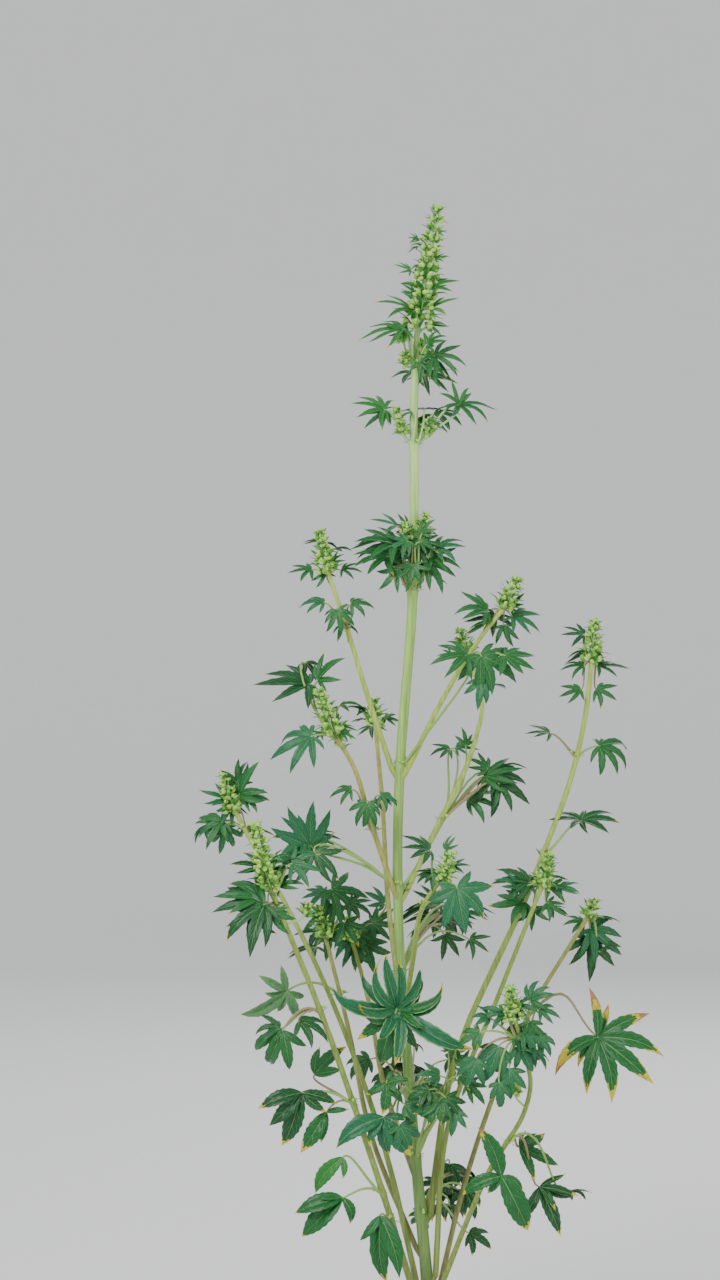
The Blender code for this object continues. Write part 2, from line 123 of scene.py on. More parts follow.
# ---- leaf places
# A spray is the leaves that one joint of a limb gives to one mass. A row is one leaf towards the front: its
# foot right of and above the middle of the mass, its heading turned up from the right, the length of its
# middle lobe, its number of lobes and how far its face leans from straight up to the front, in millimetres
# and degrees. Rows with the same foot share one stalk and one tone, so rows of one lobe make up a leaf
# between them. Where a spray has no height, each stalk leaves the limb just below its leaf. The spray's
# other leaves, as many as it says, go by rule round the far side.
Spray = namedtuple("Spray", "mass owner height tone age habit more leaves")
SPRAYS = (
    Spray("flower_spike_top", "main_stem", None, "young", FRESH, "arched", 7, (
        (-8, -34, 164, 29, 5, 35), (5, -33, 20, 24, 5, 35), (6, -18, 12, 21, 5, 35),
        (-9, -6, 165, 15, 5, 35), (8, 2, 15, 12, 5, 35), (-4, 15, 135, 10, 5, 35),
        (10, 20, 15, 9, 3, 35), (4, -44, -10, 16, 5, 40), (-6, -22, 140, 14, 5, 35),
        (2, -8, 60, 12, 5, 40))),
    Spray("leaves_top", "main_stem", 724, "bright", FRESH, "drooping", 3, (
        (15, 2, -38, 27, 9, 50), (-7, 20, 186, 35, 7, 35), (-4, 17, 165, 20, 7, 40),
        (3, -2, -85, 16, 5, 60), (10, 10, 35, 18, 7, 35), (8, -2, -70, 22, 5, 55))),
    Spray("leaves_neck", "main_stem", 668, "bright", FRESH, "drooping", 3, (
        (-26, 1, 168, 25, 9, 40), (25, 4, -18, 32, 7, 35), (26, 5, 112, 21, 7, 35),
        (4, -6, -20, 13, 3, 50), (-24, 0, 215, 20, 5, 50), (-6, -1, 190, 12, 3, 50))),
    Spray("leaves_crown", "main_stem", 566, "mid", FRESH, "arched", 5, (
        (-6, 17, 172, 24, 3, 35), (-7, 4, 175, 32, 7, 35), (-13, -4, 192, 28, 7, 40),
        (-6, -13, 235, 22, 5, 55), (5, -10, -95, 22, 7, 65), (15, -8, -50, 26, 7, 55),
        (21, 2, 5, 25, 7, 40), (18, -4, -18, 24, 5, 45), (11, 12, 60, 15, 5, 35),
        (1, 15, 125, 14, 5, 35), (6, 3, 80, 14, 7, 45), (-3, 1, -115, 25, 7, 60), (8, 2, -60, 24, 7, 60),
        (1, 6, -160, 20, 7, 50), (10, 6, -10, 20, 7, 45))),
    Spray("head_upper_left", "branch_upper_left", 578, "mid", FRESH, "arched", 2, (
        (-11, -7, 185, 21, 5, 40), (10, -7, -5, 18, 5, 40), (-1, -9, 250, 15, 5, 50),
        (4, -2, 40, 13, 5, 40))),
    Spray("leaves_upper_left_low", "branch_upper_left", 540, "mid", FRESH, "hanging", 1, (
        (0, 4, -75, 21, 7, 70), (-9, 9, 170, 21, 5, 40), (10, 8, 10, 20, 5, 40))),
    Spray("head_upper_right", "branch_upper_right", 552, "mid", FRESH, "arched", 2, (
        (-13, 2, 172, 26, 7, 40), (5, -2, -25, 25, 7, 45), (-1, -8, -80, 18, 5, 60),
        (4, 4, 50, 15, 5, 40))),
    Spray("leaves_upper_right_low", "branch_upper_right", 515, "teal_painted_sheen", FRESH, "broad", 1, (
        (-6, 16, -60, 33, 7, 65), (10, 16, -20, 25, 7, 45), (-6, -1, -100, 21, 5, 65))),
    Spray("leaves_upper_right_low", "main_stem", 444, "teal_painted_sheen", FRESH, "arched", 0, (
        (-16, 16, 185, 29, 7, 45),)),
    Spray("head_mid_left", "branch_mid_left", 465, "young", FRESH, "arched", 2, (
        (-10, -4, 200, 13, 5, 35), (3, -3, -20, 13, 5, 35))),
    Spray("leaves_mid_left_high", "branch_mid_left", 458, "mid", FRESH, "arched", 1, (
        (10, -2, 182, 40, 7, 45), (16, 1, 42, 26, 5, 40))),
    Spray("leaves_mid_left_outer", "branch_mid_left", 462, "mid", FRESH, "hanging", 0, (
        (15, 5, 200, 34, 7, 50),)),
    Spray("leaves_mid_left_low", "branch_mid_left", 398, "mid", FRESH, "hanging", 1, (
        (-1, 6, -95, 22, 7, 65), (-12, 15, 185, 18, 5, 40), (8, 11, -15, 19, 5, 45))),
    Spray("head_upper_back", "branch_upper_back", 470, "deep", FRESH, "arched", 3, (
        (-5, 6, 165, 15, 5, 35), (9, 2, -15, 13, 5, 35))),
    Spray("head_mid_right", "branch_mid_right", 519, "young", FRESH, "arched", 2, (
        (-11, -1, 190, 13, 5, 35), (0, -1, -10, 11, 5, 35))),
    Spray("leaves_mid_right_low", "branch_mid_right", 405, "mid", FRESH, "arched", 1, (
        (-29, 23, 185, 18, 5, 35), (-25, 24, -10, 18, 5, 35), (-16, -13, 0, 28, 5, 40),
        (-4, 4, 15, 31, 7, 45), (-2, 9, 150, 21, 5, 40), (-18, 26, 100, 14, 5, 35),
        (6, -2, -60, 21, 7, 55))),
    Spray("leaves_mid_right_low", "main_stem", 359, "deep", FRESH, "hanging", 0, (
        (1, 5, -35, 36, 7, 45),)),
    Spray("leaves_left_fan", "main_stem", 357, "mid", FRESH, "flat", 1, (
        (3, -2, 125, 36, 9, 75), (6, -6, -75, 30, 7, 55), (0, 2, 165, 30, 7, 60))),
    Spray("head_front_mid", "branch_front_mid", 368, "mid", FRESH, "arched", 2, (
        (-7, 12, 170, 23, 7, 45), (8, 1, 10, 15, 5, 40), (0, -2, -120, 16, 5, 50),
        (4, 12, 50, 14, 5, 40))),
    Spray("leaves_front_fan", "branch_front_mid", 352, "teal_painted_sheen", FRESH, "broad", 0, (
        (-10, 16, -75, 36, 7, 74),)),
    Spray("head_far_left", "branch_far_left", 412, "mid", FRESH, "arched", 3, (
        (1, 13, 60, 28, 7, 50), (-7, 9, 165, 24, 5, 45), (5, 9, 5, 21, 5, 45), (-4, 4, 230, 18, 5, 50),
        (0, 20, 95, 19, 5, 40))),
    Spray("leaves_far_left_low", "branch_far_left", 400, "mid", FRESH, "hanging", 1, (
        (4, 6, 200, 25, 7, 55), (6, 2, -95, 24, 7, 60), (2, 4, 165, 18, 5, 45))),
    Spray("head_front_left", "branch_front_left", 362, "mid", FRESH, "arched", 2, (
        (-9, -7, 185, 27, 5, 40), (-9, 9, 165, 23, 5, 35), (2, -3, 15, 20, 5, 35),
        (-2, 15, 20, 17, 3, 35), (-5, -15, -100, 23, 7, 60), (11, 12, -10, 27, 5, 50))),
    Spray("leaves_front_left_side", "branch_front_left", 350, "mid", FRESH, "arched", 0, (
        (18, 12, 208, 44, 7, 50), (10, 8, -100, 26, 5, 60), (14, 15, 175, 33, 5, 40),
        (22, 9, -70, 24, 5, 55))),
    Spray("leaves_front_left_low", "branch_front_left", 280, "mid", FRESH, "hanging", 0, (
        (-2, 12, 245, 36, 5, 60), (-4, 13, 165, 22, 5, 45), (9, 18, -15, 26, 5, 40))),
    Spray("head_inner_left", "branch_inner_left", 318, "mid", FRESH, "arched", 2, (
        (5, 33, -35, 31, 7, 55), (0, 30, 190, 21, 7, 45), (7, 23, -95, 21, 5, 55),
        (4, 5, -95, 24, 5, 45), (18, 23, -20, 21, 7, 50), (14, 9, -60, 24, 5, 55),
        (-3, 16, 230, 19, 5, 50))),
    Spray("leaves_inner_left_side", "branch_inner_left", 278, "pale", FRESH, "hanging", 0, (
        (11, 3, 218, 40, 1, 110), (11, 3, 150, 26, 3, 100), (11, 3, -65, 24, 3, 100))),
    Spray("head_back_left", "branch_back_left", 310, "mid", FRESH, "arched", 3, (
        (0, 5, 180, 25, 7, 45), (6, 9, 0, 25, 7, 45), (2, 0, -90, 22, 5, 55), (15, 16, -10, 25, 7, 45),
        (10, 2, -70, 25, 7, 55), (24, 31, 150, 19, 5, 45))),
    Spray("head_tall_right", "branch_tall_right", 516, "mid", FRESH, "arched", 3, (
        (-6, -4, 180, 20, 5, 30), (4, -4, 0, 24, 5, 30), (-8, -20, 200, 18, 5, 45),
        (3, -20, -25, 20, 5, 45))),
    Spray("leaves_tall_right_left", "branch_tall_right", 450, "mid", FRESH, "arched", 0, (
        (8, 1, 180, 21, 5, 25),)),
    Spray("leaves_tall_right_side", "branch_tall_right", 450, "mid", FRESH, "hanging", 0, (
        (-11, 3, -10, 32, 7, 45),)),
    Spray("leaves_tall_right_low", "branch_tall_right", 380, "deep", FRESH, "arched", 0, (
        (-4, 0, 0, 31, 5, 30), (-4, 0, 180, 25, 5, 30))),
    Spray("head_inner_right", "branch_inner_right", 360, "mid", FRESH, "arched", 3, (
        (-11, 5, 175, 28, 7, 45), (3, 2, -5, 21, 5, 45), (-15, -9, 200, 25, 7, 50),
        (1, -9, -40, 19, 5, 50), (10, 1, 0, 18, 7, 40), (-18, 1, 150, 21, 7, 45),
        (-8, -13, -90, 19, 5, 60))),
    Spray("head_back_right", "branch_back_right", 328, "mid", FRESH, "arched", 3, (
        (0, 5, -40, 33, 7, 55), (-5, 9, 170, 17, 5, 45), (0, -2, -85, 32, 7, 60))),
    Spray("head_front_right", "branch_front_right", 262, "teal_painted_sheen", FRESH, "hanging", 2, (
        (-2, 29, 10, 19, 5, 45), (-9, 26, 190, 20, 5, 45), (-12, 3, -115, 28, 5, 65),
        (1, 3, -60, 24, 5, 60), (-2, 9, -20, 16, 5, 45), (9, 34, 60, 20, 7, 45),
        (15, 28, -10, 19, 5, 40), (5, 13, -30, 23, 7, 50), (-25, 13, 200, 20, 5, 50),
        (-27, -5, -110, 24, 5, 60), (-12, -21, -80, 20, 5, 60), (8, 20, -80, 20, 5, 60),
        (-5, -12, -95, 24, 5, 65), (14, 10, -45, 20, 5, 55), (-18, 22, 150, 16, 5, 45))),
    Spray("leaves_scorched", "branch_back_right", 262, "mid", SCORCHED, "drooping", 0, (
        (-4, 10, -35, 54, 7, 70), (-4, 10, 92, 36, 1, 60), (-4, 10, 205, 44, 1, 60))),
    Spray("leaves_front_curled", "main_stem", 277, "teal_painted_sheen", WORN, "curled", 0, (
        (-3, 6, 112, 42, 9, 58), (0, 4, -8, 40, 3, 55), (0, 2, -42, 57, 3, 60), (-4, 3, 195, 50, 3, 55))),
    Spray("leaves_front_curled", "main_stem", 277, "bright", WORN, "hanging", 0, (
        (-4, 3, 252, 46, 3, 70),)),
    Spray("leaves_front_low", "main_stem", 213, "teal_painted_sheen", WORN, "broad", 0, (
        (2, 7, 197, 42, 1, 60), (2, 7, -90, 34, 1, 70), (2, 7, -63, 40, 1, 70), (2, 7, 2, 23, 1, 50),
        (2, 7, 230, 22, 1, 60), (4, 31, -95, 26, 3, 60), (4, 31, 25, 18, 3, 50),
        (17, 16, -20, 21, 5, 50), (13, 2, -60, 25, 5, 60))),
    Spray("leaves_front_spray", "main_stem", 170, "mid", FRESH, "arched", 1, (
        (-3, 7, 215, 22, 5, 55), (1, 9, -50, 23, 5, 55), (-3, 7, -90, 20, 5, 65),
        (-3, 24, 170, 18, 5, 50), (12, 24, 10, 20, 7, 50), (3, 41, 100, 11, 5, 40),
        (16, 18, -40, 20, 5, 55), (12, 30, 60, 16, 5, 40), (-10, 14, 200, 20, 5, 50),
        (8, 0, -100, 20, 5, 60))),
    Spray("leaves_left_low", "branch_front_left", 215, "mid", WORN, "broad", 0, (
        (3, 17, 186, 35, 1, 55), (3, 17, 257, 42, 1, 70), (3, 17, 228, 32, 1, 65),
        (3, 17, -10, 31, 1, 50), (3, 17, -45, 24, 1, 60), (20, 3, 239, 39, 1, 65),
        (20, 3, -100, 22, 1, 65), (20, 3, 10, 16, 1, 50), (12, 29, 50, 31, 3, 35))),
    Spray("leaves_left_base", "branch_front_left", 150, "bright", WORN, "broad", 0, (
        (10, 35, 221, 38, 1, 85), (10, 35, -80, 15, 1, 70), (10, 7, 192, 35, 1, 50),
        (10, 7, 221, 45, 1, 60), (10, 7, -52, 23, 1, 50), (10, 7, 172, 22, 1, 45))),
    Spray("leaves_centre_base", "branch_front_left", 130, "mid", FRESH, "arched", 1, (
        (0, 22, -93, 48, 1, 70), (0, 22, -68, 43, 1, 65), (0, 22, 237, 24, 1, 60),
        (0, 22, -40, 18, 1, 60))),
    Spray("leaves_right_base", "branch_front_right", 172, "teal_painted_sheen", WORN, "broad", 0, (
        (-4, 12, -56, 47, 1, 70), (-4, 12, 108, 39, 1, 65), (-4, 12, 195, 33, 1, 60),
        (-4, 12, -16, 20, 1, 60), (-4, 12, 235, 18, 1, 65))),
    Spray("leaves_right_low", "branch_front_right", 190, "deep", WORN, "arched", 1, (
        (-26, 32, -28, 36, 3, 55), (-26, 33, 40, 18, 3, 45), (-12, 4, -8, 29, 3, 40),
        (-12, 4, -62, 36, 3, 60))),
    Spray("leaves_back_high", "main_stem", 300, "deep", FRESH, "arched", 6, (
        (-6, 6, 160, 25, 7, 40), (5, -1, 0, 25, 7, 40), (-2, -16, -60, 22, 5, 50),
        (16, -19, -30, 20, 5, 45))),
    Spray("leaves_back_mid", "main_stem", 205, "deep", FRESH, "hanging", 7, (
        (-13, 16, 170, 22, 7, 40), (23, 9, 10, 24, 7, 40), (9, -9, -80, 22, 7, 55),
        (-34, 9, 200, 22, 5, 45), (-20, -2, 220, 22, 5, 50))),
    Spray("leaves_back_low", "main_stem", 130, "deep", WORN, "hanging", 6, (
        (-10, 2, 170, 21, 5, 45), (8, -1, -60, 26, 5, 60), (-3, 17, -95, 29, 5, 70),
        (-21, -19, 200, 19, 5, 50), (11, -33, -20, 21, 5, 50))),
)

# short side shoots that carry a small flower spike: limb, height they leave it, their foot's place right
# and towards the back of the limb and above that height, then the length and radius of the spike
SHOOTS = (
    ("main_stem", 721, -6, -5, 2, 11, 5.0),
    ("main_stem", 721, 7, -5, 9, 15, 5.0),
    ("main_stem", 721, -8, -3, 18, 9, 4.2),
    ("main_stem", 723, 3, 8, 8, 13, 5.0),
    ("main_stem", 668, -8, -4, 7, 20, 4.2),
    ("main_stem", 668, 9, -3, 7, 13, 4.2),
    ("main_stem", 668, 1, 8, 6, 15, 4.6),
    ("main_stem", 577, -4, -9, 17, 21, 5.8),
    ("main_stem", 577, 6, -6, 27, 17, 5.4),
    ("main_stem", 577, -3, 10, 12, 17, 5.4),
    ("branch_front_left", 340, 12, 2, 6, 9, 4.5),
    ("branch_front_right", 215, -6, -4, 8, 14, 4.5),
)


# ---- joined meshes
class Heap:
    """Vertices and faces of one kind of thing, joined into one piece at the end."""

    def __init__(self):
        self.points = []
        self.faces = []
        self.count = 0

    def add(self, points, faces):
        """Adds the faces and the points that they use."""
        faces = np.asarray(faces)
        used, index = np.unique(faces, return_inverse=True)
        self.points.append(np.asarray(points)[used])
        self.faces.append(index.reshape(faces.shape) + self.count)
        self.count += len(used)

    def piece(self, name, material, slot):
        """Makes the heap one mesh that rides on the plant."""
        points = np.concatenate(self.points) * MM
        quads = [f for f in self.faces if f.shape[1] == 4]
        tris = [f for f in self.faces if f.shape[1] == 3]
        corners = [np.concatenate(group) for group in (quads, tris) if group]
        sizes = np.concatenate([np.full(len(c), c.shape[1]) for c in corners])
        starts = np.concatenate([[0], np.cumsum(sizes)[:-1]])
        loops = np.concatenate([c.ravel() for c in corners])
        mesh = bpy.data.meshes.new(name)
        mesh.vertices.add(len(points))
        mesh.vertices.foreach_set("co", points.astype(np.float32).ravel())
        mesh.loops.add(len(loops))
        mesh.loops.foreach_set("vertex_index", loops.astype(np.int32))
        mesh.polygons.add(len(sizes))
        mesh.polygons.foreach_set("loop_start", starts.astype(np.int32))
        mesh.polygons.foreach_set("loop_total", sizes.astype(np.int32))
        mesh.update(calc_edges=True)
        mesh.validate()
        mesh.shade_smooth()
        obj = bpy.data.objects.new(name, mesh)
        bpy.context.scene.collection.objects.link(obj)
        mesh.materials.append(material)
        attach(obj, "root")
        return obj


HEAPS = {name: Heap() for name in COLOURS}


def grid_faces(rows, columns, wrap=False):
    """Quads of a grid whose vertices run row by row; wrap joins the last column to the first."""
    row = np.arange(rows - 1)[:, None] * columns
    here = np.arange(columns if wrap else columns - 1)[None, :]
    beside = (here + 1) % columns
    quads = np.stack([row + here, row + columns + here, row + columns + beside, row + beside], axis=-1)
    return quads.reshape(-1, 4)


def unit(v):
    """The vector at length one."""
    return v / max(np.linalg.norm(v), 1e-9)


def level(angle):
    """Level unit vector at an angle from the right."""
    return np.array([math.cos(angle), math.sin(angle), 0.0])


def smooth_line(knots, count):
    """Curve through the knots, as points evenly spaced by chord length."""
    along = np.concatenate([[0.0], np.cumsum(np.linalg.norm(np.diff(knots, axis=0), axis=1))])
    slopes = np.gradient(knots, along, axis=0)
    s = np.linspace(0.0, along[-1], count)
    i = np.clip(np.searchsorted(along, s, side="right") - 1, 0, len(knots) - 2)
    step = (along[i + 1] - along[i])[:, None]
    t = ((s - along[i])[:, None]) / step
    return (
        (2 * t**3 - 3 * t**2 + 1) * knots[i]
        + (t**3 - 2 * t**2 + t) * step * slopes[i]
        + (3 * t**2 - 2 * t**3) * knots[i + 1]
        + (t**3 - t**2) * step * slopes[i + 1]
    )


def arch(start, first, second, end, count):
    """Cubic Bezier curve from start to end, drawn towards two points between."""
    t = np.linspace(0.0, 1.0, count)[:, None]
    return (1 - t) ** 3 * start + 3 * t * (1 - t) ** 2 * first + 3 * t**2 * (1 - t) * second + t**3 * end


# directions that no tube, bud or spike runs along, to square its section from
TUBE_HINT = (0.13, 0.98, 0.11)
BUD_HINT = (0.3, 0.9, 0.2)
SPIKE_HINT = (0.1, 0.99, 0.1)


def across(line):
    """Two unit vectors square to a line at each of its points."""
    ways = np.gradient(line, axis=0)
    ways /= np.linalg.norm(ways, axis=1)[:, None]
    side = np.cross(ways, TUBE_HINT)
    side /= np.linalg.norm(side, axis=1)[:, None]
    return side, np.cross(side, ways)


def tube(heap, line, radii, sides, ribs=0, rib_depth=0.0):
    """Closed tube along a line, never below the ground; ribs raise it lengthwise."""
    u, v = across(line)
    a = np.arange(sides) * 2 * math.pi / sides
    shape = 1.0 + rib_depth * np.cos(ribs * a)
    ring = (np.cos(a) * shape)[None, :, None] * u[:, None] + (np.sin(a) * shape)[None, :, None] * v[:, None]
    points = (line[:, None] + np.asarray(radii)[:, None, None] * ring).reshape(-1, 3)
    points[:, 2] = np.maximum(points[:, 2], 0.0)
    heap.add(points, grid_faces(len(line), sides, wrap=True))
    tip = line[-1] + unit(line[-1] - line[-2]) * radii[-1] * 0.5
    k = np.arange(sides)
    fan = np.stack([k, (k + 1) % sides, np.full(sides, sides)], axis=1)
    heap.add(np.vstack([points[-sides:], tip]), fan)
    heap.add(np.vstack([points[:sides], line[0]]), fan[:, ::-1])


# ---- limbs of the frame
STEM_SIDES = 12
LIMB_SIDES = 6
SAME_POINT = 0.05


def node_points(name):
    """Corners of a CAD node, each once."""
    corners = np.array([v.co[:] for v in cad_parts[name].data.vertices]) / MM
    kept = []
    for corner in corners:
        if not kept or np.linalg.norm(np.array(kept) - corner, axis=1).min() > SAME_POINT:
            kept.append(corner)
    return np.array(kept)


def limb_axis(name, sides):
    """Centres and radii of a CAD limb's rings, from its foot up."""
    points = node_points(name)
    points = points[np.argsort(points[:, 2], kind="stable")]
    rings = points.reshape(-1, sides, 3)
    centres = rings.mean(axis=1)
    radii = np.linalg.norm(rings - centres[:, None], axis=2).mean(axis=1)
    return centres, radii


AXES = {"main_stem": limb_axis("main_stem", STEM_SIDES)}
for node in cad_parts:
    if node.startswith("branch_"):
        AXES[node] = limb_axis(node, LIMB_SIDES)


def limb_at(name, height):
    """Centre, direction and radius of a limb at a height."""
    centres, radii = AXES[name]
    height = min(max(height, centres[0, 2]), centres[-1, 2])
    place = np.array([np.interp(height, centres[:, 2], centres[:, k]) for k in range(3)])
    i = int(np.clip(np.searchsorted(centres[:, 2], height), 1, len(centres) - 1))
    return place, unit(centres[i] - centres[i - 1]), float(np.interp(height, centres[:, 2], radii))


def box_mm(name):
    """Middle and half-sizes of a CAD node's box."""
    low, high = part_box(name)
    low, high = np.array(low) / MM, np.array(high) / MM
    return (low + high) / 2, (high - low) / 2


# ---- leaves
LOBE_ROWS = 13
LOBE_COLUMNS = 7
OLD_ROWS = 17
OLD_COLUMNS = 9
# by number of lobes: the spread from the first to the last, in degrees, and the length of the lobes, from
# the middle outwards, as a share of the middle one's
SPREAD = {1: 0.0, 3: 96.0, 5: 158.0, 7: 222.0, 9: 292.0}
SHARE = {
    1: (1.0,),
    3: (1.0, 0.76),
    5: (1.0, 0.86, 0.58),
    7: (1.0, 0.93, 0.76, 0.48),
    9: (1.0, 0.95, 0.84, 0.66, 0.42),
}
# a web that never narrows a lobe
OPEN_SIDE = 9.0
# half-width of a lobe as a share of its length, by height on the plant
LOBE_WIDTHS = ((0, 0.140), (250, 0.128), (450, 0.112), (836, 0.092))

# shape of a lobe: the shares of its length where its tip starts to hook and over which it does, where its
# edge has teeth, how deep they are, how it narrows to its point, and its width at its foot
BOW_EASE = 1.2
HOOK_FROM = 0.70
HOOK_SPAN = 0.30
HOOK_EASE = 1.4
TOOTHED_FROM = 0.25
TOOTHED_TO = 0.97
TOOTH_DEPTH = 0.10
POINT_EASE = 1.2
PROFILE_PEAK = 0.22
FOOT_WIDTH = 0.012
FOOT_BEHIND = 0.03
EDGE_CROWDING = 0.6
SWELL = 0.17
SWELL_WAVES = 9


def lobe_width(height):
    """Half-width of a lobe at a height on the plant, as a share of its length."""
    return float(np.interp(height, [row[0] for row in LOBE_WIDTHS], [row[1] for row in LOBE_WIDTHS]))


def lobe_grid(base, way, normal, size, width, bends, rows, columns, webs=(OPEN_SIDE, OPEN_SIDE), swing=0.0):
    """Points over one lobe, row by row from its foot, with the way each row faces.

    It is widest a little before its middle and runs out in a long point. A row is no wider than its web,
    the tangent of half the angle to the next lobe, so that lobes share their inner part. The lobe folds
    along its midrib and swells between its side veins.
    """
    lift, bow, hook, fold = bends
    t = np.linspace(0.0, 1.0, rows)
    hooked = np.clip((t - HOOK_FROM) / HOOK_SPAN, 0.0, 1.0) ** HOOK_EASE
    slope = lift - bow * t**BOW_EASE + hook * hooked
    middle = (slope[1:] + slope[:-1]) / 2
    reach = np.concatenate([[0.0], np.cumsum(np.cos(middle))]) * size / (rows - 1)
    rise = np.concatenate([[0.0], np.cumsum(np.sin(middle))]) * size / (rows - 1)
    side = np.cross(normal, way)
    turn = (swing * t**2)[:, None]
    out = np.cos(turn) * way + np.sin(turn) * side
    flank = np.cos(turn) * side - np.sin(turn) * way
    face = np.cos(slope)[:, None] * normal - np.sin(slope)[:, None] * out
    toothed = (np.arange(rows) % 2) * (t > TOOTHED_FROM) * (t < TOOTHED_TO)
    half = width * size * t * (1 - t) ** POINT_EASE / PROFILE_PEAK * (1.0 - TOOTH_DEPTH * toothed)
    left, right = (np.minimum(half, web * reach + FOOT_WIDTH * size) for web in webs)
    v = np.linspace(-1.0, 1.0, columns)[None, :]
    if columns == OLD_COLUMNS:
        v = np.sign(v) * np.abs(v) ** EDGE_CROWDING
    wide = np.where(v < 0, right[:, None], left[:, None])
    waves = 1.0 + 0.5 * np.cos(t * SWELL_WAVES * math.pi)
    swell = SWELL * np.sin(math.pi * np.abs(v)) * waves[:, None]
    lifted = wide * (fold * np.abs(v) + swell)
    line = base + out * (reach - FOOT_BEHIND * size)[:, None] + normal * rise[:, None]
    points = line[:, None] + flank[:, None] * (wide * v)[..., None] + face[:, None] * lifted[..., None]
    return points, face


# Drying, in shares of a lobe's length: how much sooner it comes at the edges, between which two its tip
# starts to yellow, and between which two it takes from there to dried brown.
Drying = namedtuple("Drying", "edges start brown")
DRYING = {
    WORN: Drying(0.06, (0.82, 1.04), (0.08, 0.25)),
    SCORCHED: Drying(0.16, (0.55, 0.92), (0.14, 0.28)),
}
FRESH_EDGES = 0.10
FRESH_YELLOW_FROM = 0.98
FRESH_YELLOW_SHARE = 0.22
NEVER = 2.0
RIM_FROM = 0.3
RIM_EDGE = 0.99


def blade_levels(age, rimmed, rows, columns, rng):
    """For each face of a lobe: 0 green, 1 yellowed, 2 dried, worst at tip and edges, 3 rolled rim."""
    t, v = np.meshgrid(np.arange(rows - 1) / (rows - 2), np.linspace(-1.0, 1.0, columns - 1), indexing="ij")
    if age == FRESH:
        edges = FRESH_EDGES
        limits = (FRESH_YELLOW_FROM if rng.random() < FRESH_YELLOW_SHARE else NEVER, NEVER)
    else:
        drying = DRYING[age]
        edges = drying.edges
        start = rng.uniform(*drying.start)
        limits = (start, start + rng.uniform(*drying.brown))
    worn = t + edges * v**2 + rng.uniform(-0.05, 0.05, t.shape)
    levels = (worn > limits[0]).astype(int) + (worn > limits[1]).astype(int)
    if rimmed:
        levels[(np.abs(v) > RIM_EDGE) & (levels == 0) & (t > RIM_FROM)] = 3
    return levels.ravel()


# side veins: where they leave the midrib and how far on they end, as shares of the lobe's length, how near
# they come to its edge, and their height above the blade and half-widths in millimetres
VEIN_STARTS = (0.08, 0.20, 0.32, 0.44, 0.56)
VEIN_ADVANCE = 0.27
VEIN_REACH = 0.86
VEIN_EASE = 0.85
VEIN_LIFT = 0.16
VEIN_HALF = 0.17
VEIN_THINNING = 0.10
VEIN_POINTS = 4
MIDRIB_RADIUS = 0.14
MIDRIB_GROWTH = 0.008
MIDRIB_SIDES = 3


def side_veins(points, face, heap):
    """Thin raised strips that slant forward from a lobe's midrib to its edge."""
    rows, columns = points.shape[:2]
    s = np.linspace(0.0, 1.0, VEIN_POINTS)
    for t0 in VEIN_STARTS:
        for side in (-1.0, 1.0):
            row = (t0 + VEIN_ADVANCE * s) * (rows - 1)
            column = (1.0 + side * VEIN_REACH * s**VEIN_EASE) / 2 * (columns - 1)
            r, c = row.astype(int), np.minimum(column.astype(int), columns - 2)
            fr, fc = (row - r)[:, None], (column - c)[:, None]
            inner = points[r, c] * (1 - fc) + points[r, c + 1] * fc
            outer = points[r + 1, c] * (1 - fc) + points[r + 1, c + 1] * fc
            path = inner * (1 - fr) + outer * fr + face[r] * VEIN_LIFT
            flank = np.cross(np.gradient(path, axis=0), face[r])
            flank /= np.maximum(np.linalg.norm(flank, axis=1)[:, None], 1e-9)
            half = (VEIN_HALF - VEIN_THINNING * s)[:, None]
            strip = np.stack([path - flank * half, path + flank * half], axis=1)
            heap.add(strip.reshape(-1, 3), grid_faces(VEIN_POINTS, 2))


def lobe(base, way, normal, size, width, bends, webs, swing, tone, age, rimmed, rng):
    """One veined lobe of a leaf."""
    rows, columns = (LOBE_ROWS, LOBE_COLUMNS) if age == FRESH else (OLD_ROWS, OLD_COLUMNS)
    points, face = lobe_grid(base, way, normal, size, width, bends, rows, columns, webs, swing)
    faces = grid_faces(rows, columns)
    levels = blade_levels(age, rimmed, rows, columns, rng)
    for rank, heap in enumerate((tone, "tip_yellow", "tip_brown", "leaf_rim")):
        if (levels == rank).any():
            HEAPS[heap].add(points.reshape(-1, 3), faces[levels == rank])
    rib = points[:-1, columns // 2]
    radii = (MIDRIB_RADIUS + size * MIDRIB_GROWTH) * np.linspace(1.0, 0.2, rows - 1)
    tube(HEAPS["midrib"], rib, radii, MIDRIB_SIDES)
    side_veins(points, face, HEAPS["side_vein"])


